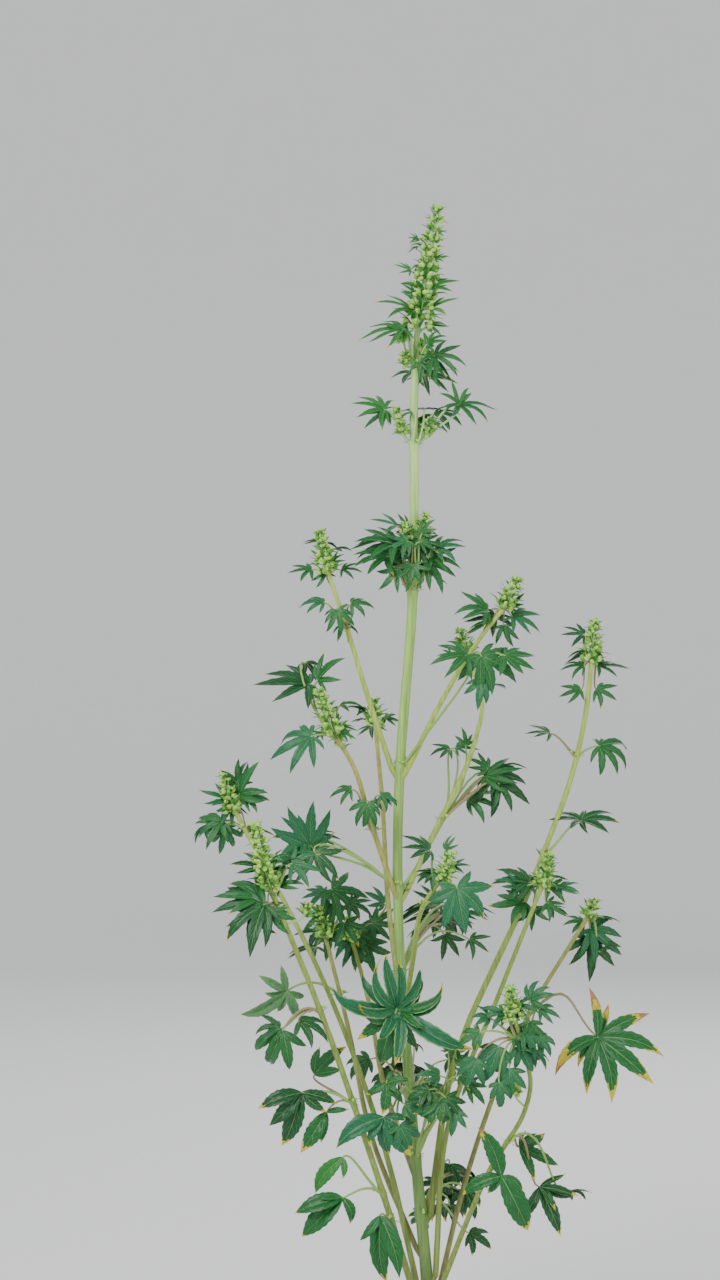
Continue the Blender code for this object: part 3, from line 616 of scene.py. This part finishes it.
def leaf(base, heading, normal, length, lobes, tone, age, habit, rng):
    """Webbed hand-shaped leaf, its lobes spread from the end of its stalk."""
    forward = unit(heading)
    normal = unit(normal - forward * (normal @ forward))
    side = np.cross(normal, forward)
    gap = math.radians(SPREAD[lobes]) * rng.uniform(0.90, 1.05) / max(lobes - 1, 1)
    web = math.tan(gap / 2)
    habit = HABITS[habit]
    lift = math.radians(habit.lift) * rng.uniform(0.6, 1.4)
    bow = math.radians(habit.bow) * rng.uniform(0.7, 1.25)
    width = lobe_width(base[2]) * habit.width * rng.uniform(0.90, 1.12)
    rimmed = habit.hook > ROLLED_HOOK
    for k in range(lobes):
        place = k - lobes // 2
        size = length * SHARE[lobes][abs(place)] * rng.uniform(0.88, 1.08)
        angle = place * gap + rng.uniform(-0.09, 0.09)
        way = math.cos(angle) * forward + math.sin(angle) * side
        bends = (
            lift,
            bow * rng.uniform(0.7, 1.3),
            math.radians(habit.hook) * rng.uniform(0.3, 1.5),
            habit.fold * rng.uniform(0.7, 1.3),
        )
        webs = (web if k < lobes - 1 else OPEN_SIDE, web if k > 0 else OPEN_SIDE)
        swing = math.radians(habit.swing) * (np.cross(normal, way) @ UP) + rng.uniform(-0.24, 0.24)
        lobe(base, way, normal, size, width, bends, webs, swing, tone, age, rimmed, rng)


LEAFLET_ROWS = 9
LEAFLET_COLUMNS = 5


def leaflet(base, way, length, width, heap, rng):
    """Narrow single leaf of a flower spike or a joint."""
    way = unit(way)
    normal = unit(UP + rng.uniform(-0.5, 0.5, 3) - 0.2 * way)
    normal = unit(normal - way * (normal @ way))
    bends = (math.radians(14), math.radians(rng.uniform(20, 75)), math.radians(rng.uniform(-20, 40)), 0.4)
    swing = rng.uniform(-0.3, 0.3)
    points, _ = lobe_grid(
        base, way, normal, length, width, bends, LEAFLET_ROWS, LEAFLET_COLUMNS, swing=swing
    )
    HEAPS[heap].add(points.reshape(-1, 3), grid_faces(LEAFLET_ROWS, LEAFLET_COLUMNS))


# ---- leaf stalks and sprays
STALK_POINTS = 10
STALK_SIDES = 7
# heights from which stalks are pale, and the share of those lower down that are tan
PALE_FROM = 600.0
TAN_SHARE = 0.4
# how far below a leaf's foot its stalk leaves the limb, where the spray has no height of its own
STALK_DROP = 5.0
# a stalk's radius, by the leaf's length but no more than its own length allows
STALK_RADIUS = 0.75
STALK_GROWTH = 0.007
THIN_STALK = 0.4
THIN_GROWTH = 0.02
# how far in front of a mass's middle its leaves stand, as a share of its half-depth
LEAF_NEARNESS = 0.30
HEAD_NEARNESS = -0.15
LONGEST_FAR_LEAF = 34.0
FAR_LOBES = (5, 7, 7)


def stalk(start, way, end, heading, radius, heap):
    """Leaf stalk that leaves its limb, arches and meets the leaf's foot."""
    length = np.linalg.norm(end - start)
    rising = start + unit(way) * length * 0.45 + UP * length * 0.12
    nearing = end - unit(heading) * length * 0.22
    line = arch(start, rising, nearing, end, STALK_POINTS)
    tube(HEAPS[heap], line, radius * np.linspace(1.15, 0.62, STALK_POINTS), STALK_SIDES)


def stalk_heap(height, rng):
    """Stalks are pale in the top of the plant; lower down some are tan."""
    if height > PALE_FROM:
        return "stalk_pale"
    return "stalk_tan" if rng.random() < TAN_SHARE else "stalk"


def grow_stalk(spray, base, heading, length, rng):
    """The stalk that carries a leaf from its limb to the leaf's foot."""
    height = base[2] - STALK_DROP if spray.height is None else spray.height
    place, limb_way, radius = limb_at(spray.owner, height)
    flat = (base - place) * [1, 1, 0]
    start = place + unit(flat) * radius * 0.7
    span = np.linalg.norm(base - start)
    thick = min(STALK_RADIUS + length * STALK_GROWTH, THIN_STALK + span * THIN_GROWTH)
    stalk(start, unit(flat) + limb_way * 0.8, base, heading, thick, stalk_heap(height, rng))


def grow_leaf(spray, base, heading, lean, length, lobes, tone, rng):
    """One leaf, its face leaning from straight up towards the side it grows on."""
    tilt = math.radians(lean + rng.uniform(-8, 8))
    toward = FRONT if heading[1] < 0.3 else -FRONT
    normal = UP * math.cos(tilt) + toward * math.sin(tilt)
    leaf(base, heading, normal, length, lobes, tone, spray.age, spray.habit, rng)


def grow_spray(spray, seed):
    """The leaves of one spray: those with a row, then the others by rule round the far side."""
    rng = np.random.default_rng(seed)
    centre, half = box_mm(spray.mass)
    tones = TONES[spray.tone]
    nearness = HEAD_NEARNESS if spray.mass.startswith("head_") else LEAF_NEARNESS
    feet = {}
    for right, up, heading, length, lobes, lean in spray.leaves:
        angle = math.radians(heading)
        way = np.array([math.cos(angle), -rng.uniform(0.0, 0.35), math.sin(angle)])
        if (right, up) not in feet:
            depth = half[1] * (rng.uniform(-0.15, 0.15) - nearness)
            base = centre + np.array([right, depth, up])
            feet[right, up] = base, tones[rng.integers(len(tones))]
            grow_stalk(spray, base, way, length, rng)
        base, tone = feet[right, up]
        grow_leaf(spray, base, way, lean, length, lobes, tone, rng)
    for _ in range(spray.more):
        out = level(math.radians(rng.uniform(20, 160)))
        base = centre + out * half * 0.30 + UP * rng.uniform(-0.5, 0.6) * half[2]
        way = out + UP * rng.uniform(-0.7, 0.1)
        size = min(half[:2].mean() * 0.95, LONGEST_FAR_LEAF) * rng.uniform(0.75, 1.0)
        tone = tones[rng.integers(len(tones))]
        lobes = FAR_LOBES[rng.integers(len(FAR_LOBES))]
        grow_stalk(spray, base, way, size, rng)
        grow_leaf(spray, base, way, rng.uniform(0, 45), size, lobes, tone, rng)


# ---- flowers
BUD_SIDES = 8
# rows of a bud: share of its length and of its widest radius
BUD_ROWS = ((0.00, 0.30), (0.14, 0.78), (0.38, 1.00), (0.64, 0.88), (0.85, 0.48))
BUD_RADIUS = 0.42
PALE_BUDS = 0.66
SEAMS = 4
SEAM_DEPTH = 0.09

# a flower spike: the step between its tiers in bud lengths, the buds of a clump, the leaves of a ruff, the
# clumps of a wide tier and of a narrow one, and the radius from which a tier is wide
TIER_STEP = 1.45
CLUMP_BUDS = 5
RUFF_LEAVES = 8
RUFF_COLOURS = ("leaf_young", "leaf_young", "bract", "bract", "leaf_bright")
WIDE_CLUMPS = 5
NARROW_CLUMPS = 4
WIDE_FROM = 5.5
TIP_BUDS = 7
TIP_LEAVES = 5
AXIS_POINTS = 6
AXIS_SIDES = 6

# a branch's spike: its least length, the bud's size there and the most it grows to, its radius, how each
# grows with the length, and the reach of its ruffs
HEAD_LENGTH = 14.0
HEAD_BUD = 3.4
HEAD_BUD_GROWTH = 0.03
HEAD_BUD_MOST = 4.4
HEAD_RADIUS = 5.2
HEAD_RADIUS_GROWTH = 0.075
HEAD_REACH = 9.5
HEAD_OVERLAP = 3.0

# a side shoot's ruffs and buds, and the radius of its stalk
SHOOT_REACH = 7.5
SHOOT_BUD = 3.3
SHOOT_STALK = 0.8

# the top spike: where it starts on the stem, its radius, the reach of its ruffs and its buds
TOP_FROM = 748
TOP_RADIUS = 11.5
TOP_REACH = 12.0
TOP_BUD = 4.6


def bud(base, way, length, rng):
    """Closed flower bud: an egg with four lengthwise seams and a blunt point."""
    way = unit(way)
    u = unit(np.cross(way, BUD_HINT))
    v = np.cross(way, u)
    a = np.arange(BUD_SIDES) * 2 * math.pi / BUD_SIDES + rng.uniform(0, 1)
    groove = 1.0 + SEAM_DEPTH * np.cos(SEAMS * (a - a[0]))
    ring = (np.cos(a) * groove)[:, None] * u + (np.sin(a) * groove)[:, None] * v
    rows = [base + way * t * length + ring * r * length * BUD_RADIUS for t, r in BUD_ROWS]
    points = np.vstack(rows + [base + way * length])
    body = grid_faces(len(BUD_ROWS), BUD_SIDES, wrap=True)
    k = np.arange(BUD_SIDES)
    last = (len(BUD_ROWS) - 1) * BUD_SIDES
    tip = np.stack([last + k, last + (k + 1) % BUD_SIDES, np.full(BUD_SIDES, last + BUD_SIDES)], axis=1)
    heap = HEAPS["bud_pale" if rng.random() < PALE_BUDS else "bud_green"]
    heap.add(points, body)
    heap.add(points, tip)


def clump(centre, way, count, spread, size, rng):
    """Buds pressed together into a cone that points one way."""
    way = unit(way)
    for k in range(count):
        share = (k + 0.5) / count
        lean = unit(rng.normal(0.0, 1.0, 3) * (1.0 - 0.6 * share) + way * 1.2)
        place = centre + way * spread * (1.6 * share - 0.5) + lean * spread * 0.55 * (1.0 - share)
        bud(place, lean, size * (1.1 - 0.3 * share), rng)


def spike(foot, way, length, radius, reach, size, rng):
    """Flower spike: tiers of bud clumps up an axis, each in a ruff of leaves that stand out by reach."""
    way = unit(way)
    u = unit(np.cross(way, SPIKE_HINT))
    v = np.cross(way, u)
    axis = foot + way * np.linspace(0, length * 0.92, AXIS_POINTS)[:, None]
    tube(HEAPS["stalk_pale"], axis, np.linspace(1.1, 0.4, AXIS_POINTS), AXIS_SIDES)
    tiers = max(2, round(length / (size * TIER_STEP)))
    for i in range(tiers):
        t = (i + 0.3) / tiers
        wide = max(radius * (1.0 - 0.5 * t) * (1.0 - 0.45 * t**3), size * 0.55) * rng.uniform(0.90, 1.1)
        centre = foot + way * length * t
        clumps = WIDE_CLUMPS if wide > WIDE_FROM else NARROW_CLUMPS
        small = size * (1.0 - 0.32 * t)
        for k in range(clumps):
            angle = GOLDEN * i + k * 2 * math.pi / clumps + rng.uniform(-0.3, 0.3)
            out = math.cos(angle) * u + math.sin(angle) * v
            place = centre + out * (wide - small * 0.55) * 0.75 + way * rng.uniform(0.0, 2.0)
            tube(HEAPS["stalk_pale"], np.linspace(centre - way, place, 3), np.full(3, 0.45), 4)
            clump(place, out * 0.8 + way, CLUMP_BUDS, small * 0.68, small, rng)
        for k in range(RUFF_LEAVES):
            angle = GOLDEN * i + (k + 0.5) * 2 * math.pi / RUFF_LEAVES + rng.uniform(-0.4, 0.4)
            out = math.cos(angle) * u + math.sin(angle) * v
            blade = wide * 0.6 + reach * (1.0 - 0.55 * t) * rng.uniform(0.6, 1.1)
            heap = RUFF_COLOURS[rng.integers(len(RUFF_COLOURS))]
            rising = out + way * rng.uniform(0.2, 1.1)
            leaflet(centre + out * wide * 0.4, rising, blade, 0.105, heap, rng)
    tip = foot + way * (length - size * 1.5)
    clump(tip, way, TIP_BUDS, size * 0.62, size * 0.62, rng)
    for k in range(TIP_LEAVES):
        out = math.cos(k * GOLDEN) * u + math.sin(k * GOLDEN) * v
        blade = size * rng.uniform(1.0, 1.6)
        leaflet(tip + out * size * 0.3, out * 0.5 + way, blade, 0.10, "leaf_young", rng)


def head(name, rng):
    """The spike that stands on a branch's end, as tall as its CAD solid."""
    centres, _ = AXES["branch_" + name.removeprefix("head_")]
    end = centres[-1]
    way = unit(unit(end - centres[-2]) + UP * 0.6)
    centre, half = box_mm(name)
    length = max(HEAD_LENGTH, (centre[2] + half[2] - end[2]) / max(way[2], 0.3))
    size = min(HEAD_BUD + HEAD_BUD_GROWTH * (length - HEAD_LENGTH), HEAD_BUD_MOST)
    radius = HEAD_RADIUS + length * HEAD_RADIUS_GROWTH
    spike(end - way * HEAD_OVERLAP, way, length + 1.0, radius, HEAD_REACH, size, rng)


def shoot(owner, height, right, back, up, length, radius, rng):
    """Small flower spike on a short stalk, in the joint between a limb and its leaves."""
    place, way, _ = limb_at(owner, height)
    foot = place + np.array([right, back, up])
    line = arch(place, place + way * 2, foot - UP * up * 0.3, foot, 5)
    tube(HEAPS["stalk_pale"], line, np.full(5, SHOOT_STALK), AXIS_SIDES)
    lean = np.array([right, back, 0.0]) * 0.03
    spike(foot, UP + lean, length, radius, SHOOT_REACH, SHOOT_BUD, rng)


STIPULES = 6
JOINT_CLUMPS = 2


def joint(owner, height, rng):
    """Where leaves leave a limb: narrow stipules and two tiny clumps of buds."""
    place, way, radius = limb_at(owner, height)
    for k in range(STIPULES):
        out = level(GOLDEN * k + rng.uniform(-0.3, 0.3))
        start = place + out * radius * 0.8 + way * rng.uniform(-1.5, 2.5)
        rising = out + way * rng.uniform(-0.3, 1.2)
        leaflet(start, rising, rng.uniform(4.0, 9.0), 0.09, "leaf_young", rng)
    for k in range(JOINT_CLUMPS):
        out = level(GOLDEN * k + rng.uniform(0, 6))
        clump(place + out * (radius + 0.8) + way * 2.2, out + way, 2, 1.2, 2.6, rng)


# ---- stems
# inner and back limbs whose skins are tinted a duller tan: partly their own colour and partly painted
# shade, as they lie deeper in the plant
TAN_AND_SHADE_LIMBS = (
    "branch_inner_left",
    "branch_back_left",
    "branch_upper_back",
    "branch_back_right",
    "branch_mid_left",
)
JOINT_SWELL = 0.16
JOINT_SPAN = 4.0
SKIN_STEP = 2.2
RIB_DEPTH = 0.05
# sides and ribs of a skin round the stem and round a branch
STEM_SKIN = (32, 7)
BRANCH_SKIN = (20, 5)
# how far below its CAD foot a branch's skin starts, inside the stem
FOOT_DEPTH = 9.0
UNEVEN = 0.02


def limb_skin(node):
    """Ribbed skin that follows one CAD limb and swells a little at its joints."""
    centres, radii = AXES[node]
    main = node == "main_stem"
    length = np.linalg.norm(np.diff(centres, axis=0), axis=1).sum()
    line = smooth_line(centres, int(length / SKIN_STEP))
    width = np.interp(line[:, 2], centres[:, 2], radii)
    rng = np.random.default_rng(len(node))
    for height in sorted({spray.height for spray in SPRAYS if spray.owner == node and spray.height}):
        width = width * (1.0 + JOINT_SWELL * np.exp(-(((line[:, 2] - height) / JOINT_SPAN) ** 2)))
    if not main:
        start = limb_at("main_stem", line[0, 2] - FOOT_DEPTH)[0]
        line = np.vstack([start, (start + line[0]) / 2, line])
        width = np.concatenate([[width[0] * 0.9, width[0] * 1.1], width])
    width = width * (1.0 + UNEVEN * np.sin(line[:, 2] * 0.11 + rng.uniform(0, 6)))
    sides, ribs = STEM_SKIN if main else BRANCH_SKIN
    heap = Heap()
    tube(heap, line, width, sides, ribs, RIB_DEPTH)
    return heap


# ---- materials
def shader_of(name):
    """New material, with its node tree and its shader."""
    made = bpy.data.materials.new(name)
    made.use_nodes = True
    return made, made.node_tree, made.node_tree.nodes["Principled BSDF"]


def link(tree, source, output, target, socket):
    tree.links.new(source.outputs[output], target.inputs[socket])


def mottled(tree, colour, scale, amount, stretch=(1.0, 1.0, 1.0)):
    """Colour that wanders a little lighter and darker, and the mapping that drives it."""
    coords = tree.nodes.new("ShaderNodeTexCoord")
    mapping = tree.nodes.new("ShaderNodeMapping")
    mapping.inputs["Scale"].default_value = stretch
    noise = tree.nodes.new("ShaderNodeTexNoise")
    noise.inputs["Scale"].default_value = scale
    noise.inputs["Detail"].default_value = 4.0
    ramp = tree.nodes.new("ShaderNodeValToRGB")
    for element, place, share in zip(ramp.color_ramp.elements, (0.32, 0.68), (1.0 - amount, 1.0 + amount)):
        element.position = place
        element.color = (*[min(1.0, c * share) for c in colour], 1.0)
    link(tree, coords, "Object", mapping, "Vector")
    link(tree, mapping, "Vector", noise, "Vector")
    link(tree, noise, "Fac", ramp, "Fac")
    return mapping, ramp


def bumped(tree, shader, mapping, scale, strength, distance):
    """Gives a shader a fine uneven surface."""
    noise = tree.nodes.new("ShaderNodeTexNoise")
    noise.inputs["Scale"].default_value = scale
    noise.inputs["Detail"].default_value = 3.0
    bump = tree.nodes.new("ShaderNodeBump")
    bump.inputs["Strength"].default_value = strength
    bump.inputs["Distance"].default_value = distance
    link(tree, mapping, "Vector", noise, "Vector")
    link(tree, noise, "Fac", bump, "Height")
    link(tree, bump, "Normal", shader, "Normal")


GRAIN = 900.0
MOTTLE = 0.18
STREAKS = 700.0


def plant_material(name, colour, roughness):
    """Mottled green or yellow of leaves, stalks and buds."""
    made, tree, shader = shader_of(name)
    mapping, ramp = mottled(tree, colour, GRAIN, MOTTLE)
    link(tree, ramp, "Color", shader, "Base Color")
    shader.inputs["Roughness"].default_value = roughness
    shader.inputs["Specular IOR Level"].default_value = 0.34
    bumped(tree, shader, mapping, GRAIN * 2.2, 0.35, 0.0003)
    return made


# colour of a stem by its share of the plant's height, darker towards the foot partly as its own colour and
# partly as painted shade, then tints for branches
STEM_BANDS = (
    (0.00, (0.150, 0.230, 0.075)),
    (0.30, (0.180, 0.330, 0.080)),
    (0.52, (0.270, 0.460, 0.100)),
    (0.68, (0.340, 0.570, 0.120)),
    (0.80, (0.420, 0.640, 0.210)),
    (1.00, (0.340, 0.580, 0.220)),
)
GREEN_LIMB = (1.22, 0.96, 0.75)
# the tan tint is partly the limbs' own colour and partly painted shade
TAN_AND_SHADE_LIMB = (1.30, 0.78, 0.80)


def stem_material(name, tint=(1.0, 1.0, 1.0)):
    """Green stem: deeper at the foot, partly its own colour and partly painted shade, pale towards the top,
    with fine lengthwise streaks.
    """
    made, tree, shader = shader_of(name)
    coords = tree.nodes.new("ShaderNodeTexCoord")
    split = tree.nodes.new("ShaderNodeSeparateXYZ")
    reach = tree.nodes.new("ShaderNodeMath")
    reach.operation = "DIVIDE"
    reach.inputs[1].default_value = CAD_BOX[1][2]
    ramp = tree.nodes.new("ShaderNodeValToRGB")
    while len(ramp.color_ramp.elements) < len(STEM_BANDS):
        ramp.color_ramp.elements.new(0.5)
    for element, (place, colour) in zip(ramp.color_ramp.elements, STEM_BANDS):
        element.position = place
        element.color = (*[min(1.0, c * k) for c, k in zip(colour, tint)], 1.0)
    mapping, streaks = mottled(tree, (0.5, 0.5, 0.5), STREAKS, 0.35, (1.0, 1.0, 0.04))
    mix = tree.nodes.new("ShaderNodeMix")
    mix.data_type = "RGBA"
    mix.blend_type = "OVERLAY"
    mix.inputs["Factor"].default_value = 0.75
    link(tree, coords, "Object", split, "Vector")
    link(tree, split, "Z", reach, 0)
    link(tree, reach, 0, ramp, "Fac")
    link(tree, ramp, "Color", mix, "A")
    link(tree, streaks, "Color", mix, "B")
    link(tree, mix, "Result", shader, "Base Color")
    shader.inputs["Roughness"].default_value = 0.5
    shader.inputs["Specular IOR Level"].default_value = 0.35
    bumped(tree, shader, mapping, 1500.0, 0.5, 0.0004)
    return made


# ---- the plant
# random seeds: the first spray, head, shoot and joint each, the others counting up, and the top spike
SPRAY_SEED = 200
HEAD_SEED = 500
SHOOT_SEED = 700
JOINT_SEED = 800
TOP_SEED = 7


def nodes_named(*starts):
    """CAD nodes whose names start so."""
    return [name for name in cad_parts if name.startswith(starts)]


def grow():
    """Fills the heaps with every leaf, stalk and bud."""
    for i, spray in enumerate(SPRAYS):
        grow_spray(spray, SPRAY_SEED + i)
    joints = sorted({(spray.owner, spray.height) for spray in SPRAYS if spray.height})
    for i, (owner, height) in enumerate(joints):
        joint(owner, height, np.random.default_rng(JOINT_SEED + i))
    for i, name in enumerate(sorted(nodes_named("head_"))):
        head(name, np.random.default_rng(HEAD_SEED + i))
    for i, row in enumerate(SHOOTS):
        shoot(*row, np.random.default_rng(SHOOT_SEED + i))
    foot = limb_at("main_stem", TOP_FROM)[0]
    top = limb_at("main_stem", PLANT_TOP)[0] * [1, 0, 0] + UP * PLANT_TOP
    way = top - foot
    rng = np.random.default_rng(TOP_SEED)
    spike(foot, way, np.linalg.norm(way), TOP_RADIUS, TOP_REACH, TOP_BUD, rng)


SLOTS = {
    "bud_pale": "flower_heads",
    "bud_green": "flower_heads",
    "stalk": "branches",
    "stalk_pale": "branches",
    "stalk_tan": "branches",
}
ROUGHNESS = {"bud_pale": 0.55, "bud_green": 0.55, "tip_yellow": 0.7, "tip_brown": 0.8, "leaf_pale": 0.62}
LEAF_ROUGHNESS = 0.38


def joined(name, limbs, material):
    """One piece for the skins of several limbs."""
    whole = Heap()
    for limb in limbs:
        skin = limb_skin(limb)
        for points, faces in zip(skin.points, skin.faces):
            whole.add(points, faces - faces.min())
    piece = whole.piece(name, material, "branches")
    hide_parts(*limbs)


def make_pieces():
    """One piece for each heap and each kind of stem, in place of the CAD nodes."""
    grow()
    stem = limb_skin("main_stem").piece("stem_skin", stem_material("stem_green"), "stem")
    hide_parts("main_stem")
    green = [name for name in nodes_named("branch_") if name not in TAN_AND_SHADE_LIMBS]
    joined("branch_skins", green, stem_material("branch_green", GREEN_LIMB))
    # skins of the inner and back limbs, their tan partly painted shade
    joined("branch_skins_tan_and_shade", TAN_AND_SHADE_LIMBS, stem_material("branch_tan_and_shade", TAN_AND_SHADE_LIMB))
    for name, heap in HEAPS.items():
        material = plant_material(name, COLOURS[name], ROUGHNESS.get(name, LEAF_ROUGHNESS))
        heap.piece(name, material, SLOTS.get(name, "foliage"))
    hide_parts(*nodes_named("head_", "flower_"))
    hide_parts(*nodes_named("leaves_"))


# ---- stage
BOWL_RADIUS = 4.2
BOWL_BEND = 1.4
BOWL_HEIGHT = 5.0
BOWL_SIDES = 96
FLAT_RADIUS = 0.6


def backdrop():
    """Pale studio floor that sweeps up into a round wall."""
    bend = [
        (BOWL_RADIUS - BOWL_BEND + BOWL_BEND * math.sin(a), BOWL_BEND * (1 - math.cos(a)))
        for a in np.linspace(0.0, math.pi / 2, 17)
    ]
    profile = [(FLAT_RADIUS, 0.0)] + bend + [(BOWL_RADIUS, BOWL_HEIGHT)]
    a = np.arange(BOWL_SIDES) * 2 * math.pi / BOWL_SIDES
    points = [(r * math.cos(k), r * math.sin(k), z) for r, z in profile for k in a]
    faces = [tuple(int(k) for k in quad) for quad in grid_faces(len(profile), BOWL_SIDES, wrap=True)]
    faces.append(tuple(range(BOWL_SIDES)))
    mesh = bpy.data.meshes.new("floor")
    mesh.from_pydata(points, [], faces)
    mesh.shade_smooth()
    floor = bpy.data.objects.new("floor", mesh)
    bpy.context.scene.collection.objects.link(floor)
    material, _, shader = shader_of("floor")
    shader.inputs["Base Color"].default_value = (0.80, 0.80, 0.79, 1.0)
    shader.inputs["Roughness"].default_value = 0.9
    mesh.materials.append(material)


def area_light(name, place, size, power, aim):
    """Round soft light, turned towards a point."""
    data = bpy.data.lights.new(name, "AREA")
    data.shape = "DISK"
    data.size = size
    data.energy = power
    obj = bpy.data.objects.new(name, data)
    bpy.context.scene.collection.objects.link(obj)
    obj.location = place
    obj.rotation_euler = (aim - obj.location).to_track_quat("-Z", "Y").to_euler()


def stage():
    """Backdrop, three soft lights, a pale sky and the camera."""
    backdrop()
    aim = Vector((CAMERA_RIGHT * MM, 0.0, CAMERA_HEIGHT * MM))
    area_light("key", (-1.1, -1.9, 1.9), 1.2, 58.0, aim)
    area_light("fill", (1.7, -1.5, 0.9), 1.6, 14.0, aim)
    area_light("rim", (0.6, 1.8, 1.6), 1.2, 16.0, aim)
    world = bpy.data.worlds.new("studio")
    world.use_nodes = True
    background = world.node_tree.nodes["Background"]
    background.inputs["Color"].default_value = (0.94, 0.97, 1.0, 1.0)
    background.inputs["Strength"].default_value = 0.9
    bpy.context.scene.world = world
    data = bpy.data.cameras.new("camera")
    data.lens = LENS
    data.clip_start, data.clip_end = 0.05, 50.0
    camera = bpy.data.objects.new("camera", data)
    bpy.context.scene.collection.objects.link(camera)
    camera.location = (CAMERA_RIGHT * MM, -CAMERA_DISTANCE * MM, CAMERA_HEIGHT * MM)
    camera.rotation_euler = (math.pi / 2, 0.0, 0.0)
    bpy.context.scene.camera = camera


make_pieces()
stage()
